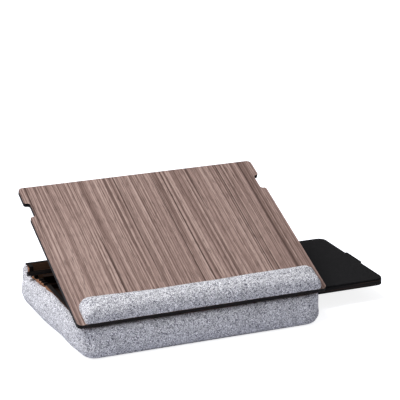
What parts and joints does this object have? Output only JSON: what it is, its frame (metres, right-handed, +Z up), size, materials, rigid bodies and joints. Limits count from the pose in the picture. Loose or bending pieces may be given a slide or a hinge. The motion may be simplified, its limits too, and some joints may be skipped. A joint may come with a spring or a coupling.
{
  "type": "laptop stand with drawer",
  "caption": "Lap desk with a padded base, a tilting walnut top held by a notched prop, a wrist rest and a felt-lined drawer that slides out at the right.",
  "frame": {"origin": "on the floor under the middle of the padded base", "axes": "+X to the right, where the drawer comes out; +Y to the back; +Z up"},
  "size_m": [0.5056, 0.3059, 0.1771],
  "materials": {
    "walnut_board": "matt oiled veneer",
    "grey_felt": "melange felt",
    "foam": "open cell",
    "dark_board": "matt stained",
    "black_felt": "felt",
    "hinge_steel": "satin"
  },
  "bodies": {
    "base": {"cushion_cover": "grey_felt", "foam_bottom": "foam", "foam_front": "foam", "foam_back": "foam", "foam_left": "foam", "foam_right": "foam", "floor_board": "walnut_board", "front_wall": "walnut_board", "back_wall": "walnut_board", "left_wall": "walnut_board", "right_wall": "walnut_board", "drawer_rail_front": "walnut_board", "drawer_rail_back": "walnut_board", "drawer_stops": "walnut_board", "front_hinge_base_leaves": "hinge_steel", "front_hinge_pins": "hinge_steel", "front_hinge_base_screws": "hinge_steel"},
    "top": {"top_board": "walnut_board", "wrist_rest_foam": "foam", "wrist_rest_cover": "grey_felt", "front_hinge_top_leaves": "hinge_steel", "front_hinge_top_screws": "hinge_steel", "prop_hinge_top_leaves": "hinge_steel", "prop_hinge_top_screws": "hinge_steel", "prop_hinge_pins": "hinge_steel"},
    "prop": {"prop_board": "walnut_board", "prop_hinge_prop_leaves": "hinge_steel", "prop_hinge_prop_screws": "hinge_steel"},
    "drawer": {"drawer_board": "dark_board", "drawer_felt": "black_felt", "drawer_cleat": "walnut_board"}
  },
  "joints": [
    {"name": "panel_tilt", "type": "hinge", "parent": "base", "child": "top", "pos_m": [0, -0.1461, 0.0503], "axis": [1, 0, 0], "range_deg": [-23.3, 21]},
    {"name": "prop_swing", "type": "hinge", "parent": "top", "child": "prop", "pos_m": [0, -0.02395, 0.10291], "axis": [1, 0, 0], "range_deg": [-39.5, 43.8]},
    {"name": "drawer_slide", "type": "slide", "parent": "base", "child": "drawer", "axis": [1, 0, 0], "range_m": [-0.123, 0]}
  ],
  "couplings": [
    {"joint": "prop_swing", "follows": "panel_tilt", "ratio": -1.8696}
  ]
}
